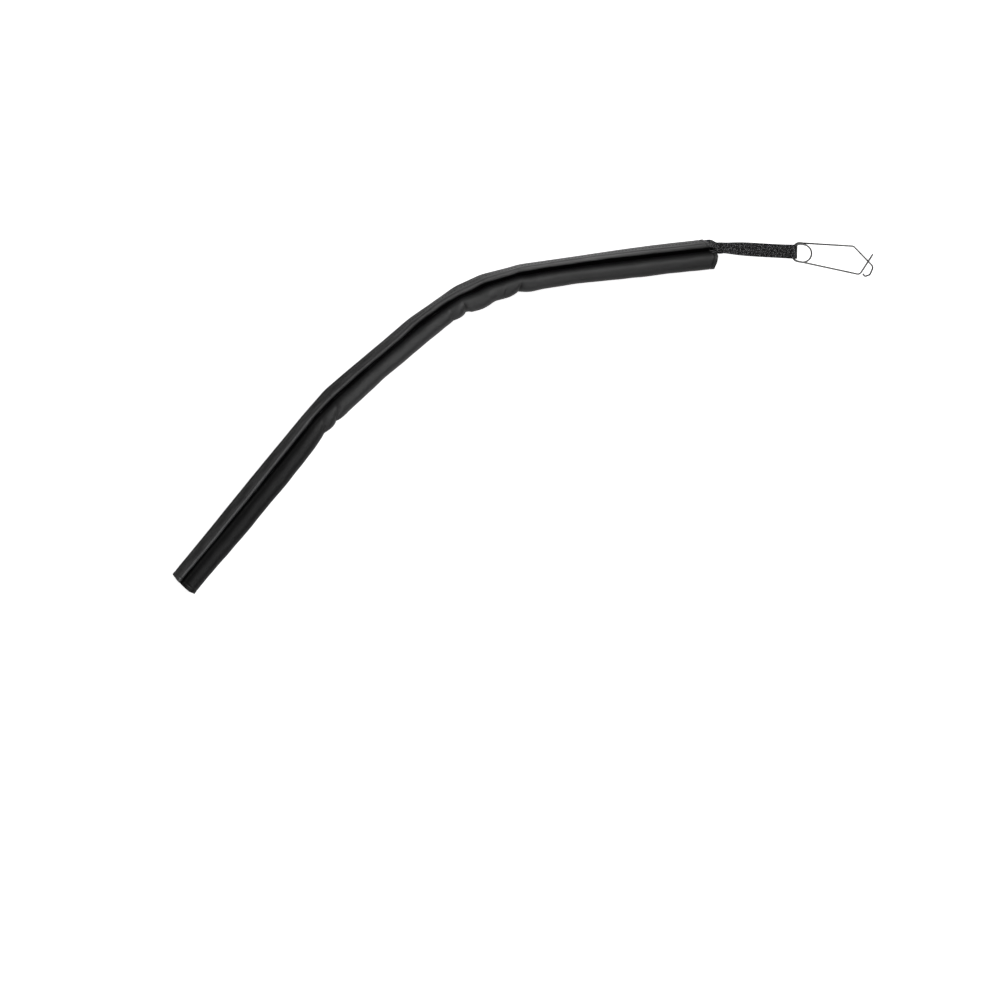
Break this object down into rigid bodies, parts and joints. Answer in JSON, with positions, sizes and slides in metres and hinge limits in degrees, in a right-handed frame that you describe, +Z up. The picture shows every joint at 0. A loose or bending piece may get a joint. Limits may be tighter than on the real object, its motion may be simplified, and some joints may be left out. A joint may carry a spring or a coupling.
{
  "type": "rope protector sleeve",
  "caption": "Bent fabric sleeve that wraps round a rope to guard it from edges, with a peel-open hook-and-loop flap and a strap that holds a sprung wire clip.",
  "frame": {"origin": "middle of the base of the object's box, on the surface that it lies on", "axes": "+Z up, away from the surface; +X towards the end with the strap and the clip; +Y towards the outside of the bend"},
  "size_m": [0.5604, 0.2824, 0.0177],
  "materials": {
    "coated_fabric": "satin",
    "loop_pile": "matte",
    "hook_weave": "matte",
    "webbing": "matte",
    "thread": "matte",
    "spring_steel": "satin"
  },
  "bodies": {
    "sleeve_1": {"sleeve_sheet_1": "coated_fabric", "loop_tape_1": "loop_pile", "strap_tail": "webbing"},
    "sleeve_2": {"sleeve_sheet_2": "coated_fabric", "loop_tape_2": "loop_pile"},
    "sleeve_3": {"sleeve_sheet_3": "coated_fabric", "loop_tape_3": "loop_pile"},
    "sleeve_4": {"sleeve_sheet_4": "coated_fabric", "loop_tape_4": "loop_pile"},
    "sleeve_5": {"sleeve_sheet_5": "coated_fabric", "loop_tape_5": "loop_pile"},
    "flap_1": {"closure_flap_1": "coated_fabric", "hook_tape_1": "hook_weave"},
    "flap_2": {"closure_flap_2": "coated_fabric", "hook_tape_2": "hook_weave"},
    "flap_3": {"closure_flap_3": "coated_fabric", "hook_tape_3": "hook_weave"},
    "flap_4": {"closure_flap_4": "coated_fabric", "hook_tape_4": "hook_weave"},
    "flap_5": {"closure_flap_5": "coated_fabric", "hook_tape_5": "hook_weave"},
    "strap": {"strap": "webbing", "bar_tack": "thread"},
    "clip": {"clip_coil_and_lower_arm": "spring_steel"},
    "clip_jaw": {"clip_upper_arm": "spring_steel"}
  },
  "joints": [
    {"name": "crease_1", "type": "hinge", "parent": "sleeve_1", "child": "sleeve_2", "pos_m": [-0.00339, 0.1208, 0], "axis": [0, 0, 1], "range_deg": [-6.4, 8]},
    {"name": "crease_2", "type": "hinge", "parent": "sleeve_2", "child": "sleeve_3", "pos_m": [-0.03246, 0.11339, 0], "axis": [0, 0, 1], "range_deg": [-10.5, 8]},
    {"name": "crease_3", "type": "hinge", "parent": "sleeve_3", "child": "sleeve_4", "pos_m": [-0.05334, 0.10374, 0], "axis": [0, 0, 1], "range_deg": [-13.4, 8]},
    {"name": "crease_4", "type": "hinge", "parent": "sleeve_4", "child": "sleeve_5", "pos_m": [-0.15785, 0.0215, 0], "axis": [0, 0, 1], "range_deg": [-12.2, 8]},
    {"name": "flap_peel_1", "type": "hinge", "parent": "sleeve_1", "child": "flap_1", "pos_m": [0.15635, 0.14105, 0.0019], "axis": [-0.9905, -0.1374, 0], "range_deg": [0, 125]},
    {"name": "flap_peel_2", "type": "hinge", "parent": "sleeve_2", "child": "flap_2", "pos_m": [-0.00292, 0.11896, 0.0019], "axis": [-0.969, -0.247, 0], "range_deg": [0, 125]},
    {"name": "flap_peel_3", "type": "hinge", "parent": "sleeve_3", "child": "flap_3", "pos_m": [-0.03166, 0.11167, 0.0019], "axis": [-0.9078, -0.4195, 0], "range_deg": [0, 125]},
    {"name": "flap_peel_4", "type": "hinge", "parent": "sleeve_4", "child": "flap_4", "pos_m": [-0.05216, 0.10225, 0.0019], "axis": [-0.7859, -0.6184, 0], "range_deg": [0, 125]},
    {"name": "flap_peel_5", "type": "hinge", "parent": "sleeve_5", "child": "flap_5", "pos_m": [-0.15639, 0.02028, 0.0019], "axis": [-0.6374, -0.7705, 0], "range_deg": [0, 125]},
    {"name": "strap_flex", "type": "hinge", "parent": "sleeve_1", "child": "strap", "pos_m": [0.15771, 0.13485, 0.00952], "axis": [0.0883, -0.6367, 0.766], "range_deg": [-45, 45], "stiffness_Nm_per_rad": 0.05},
    {"name": "clip_swing", "type": "hinge", "parent": "strap", "child": "clip", "pos_m": [0.21658, 0.13094, 0.01454], "axis": [-0.1495, -0.9888, 0], "range_deg": [-120, 120]},
    {"name": "clip_squeeze", "type": "hinge", "parent": "clip", "child": "clip_jaw", "pos_m": [0.22375, 0.12956, 0.0133], "axis": [0, 0, -1], "range_deg": [0, 12], "stiffness_Nm_per_rad": 0.05}
  ],
  "couplings": [
    {"joint": "flap_peel_2", "follows": "flap_peel_1", "ratio": 1},
    {"joint": "flap_peel_3", "follows": "flap_peel_1", "ratio": 1},
    {"joint": "flap_peel_4", "follows": "flap_peel_1", "ratio": 1},
    {"joint": "flap_peel_5", "follows": "flap_peel_1", "ratio": 1}
  ]
}
